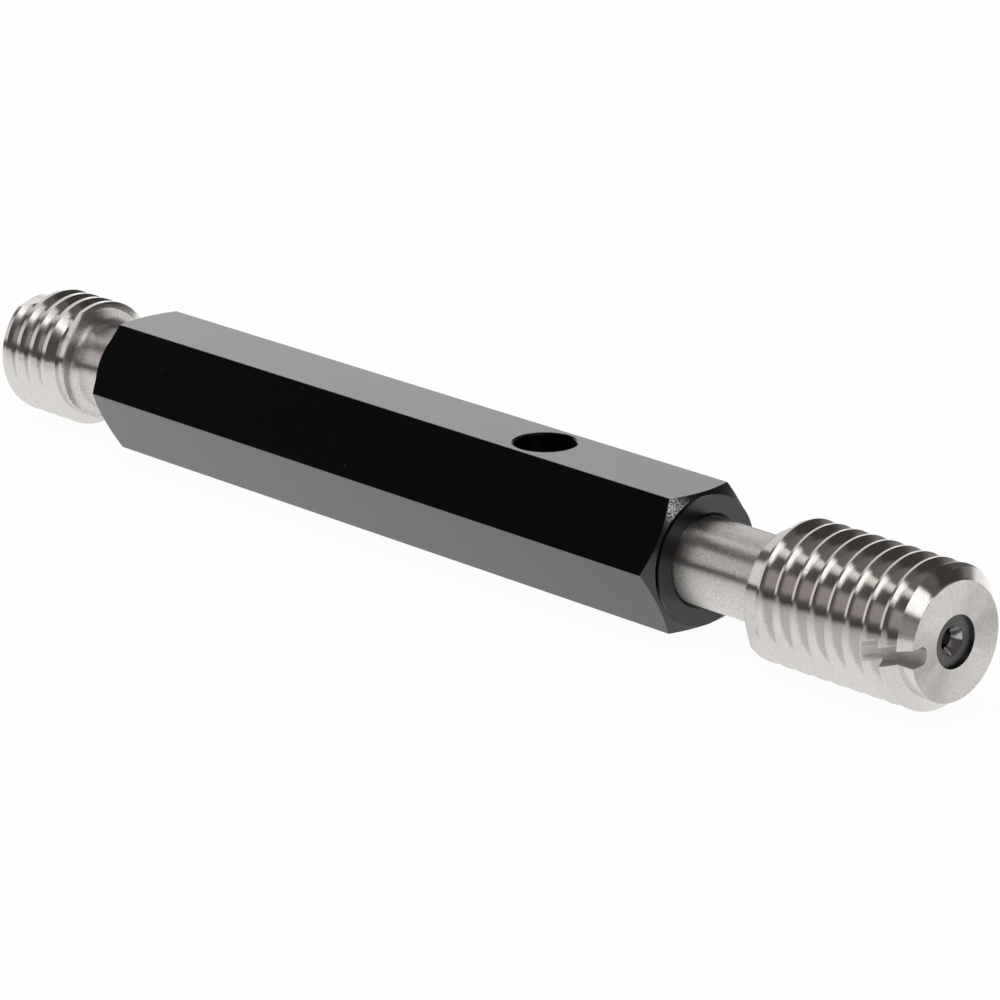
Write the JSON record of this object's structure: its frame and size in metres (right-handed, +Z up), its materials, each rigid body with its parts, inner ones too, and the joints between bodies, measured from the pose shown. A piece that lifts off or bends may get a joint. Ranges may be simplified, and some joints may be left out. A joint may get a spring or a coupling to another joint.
{
  "type": "thread plug gauge",
  "caption": "Double-ended thread plug gauge: hexagonal handle with a longer full-form GO thread member and a shorter truncated NO-GO member held in locking tapers.",
  "frame": {"origin": "midway between the two end faces, at the lowest line of the GO thread's crests, in the handle's centre plane", "axes": "+X along the gauge's axis towards the GO end, +Z up, square to a flat of the hexagonal handle"},
  "size_m": [0.1182, 0.0138, 0.0127],
  "materials": {
    "handle_black": "black anodised over a fine blasted surface, satin",
    "ground_steel": "hardened tool steel, ground and lapped, polished on the thread flanks"
  },
  "bodies": {
    "root": {"handle": "handle_black", "go_member": "ground_steel", "no_go_member": "ground_steel"}
  },
  "joints": []
}
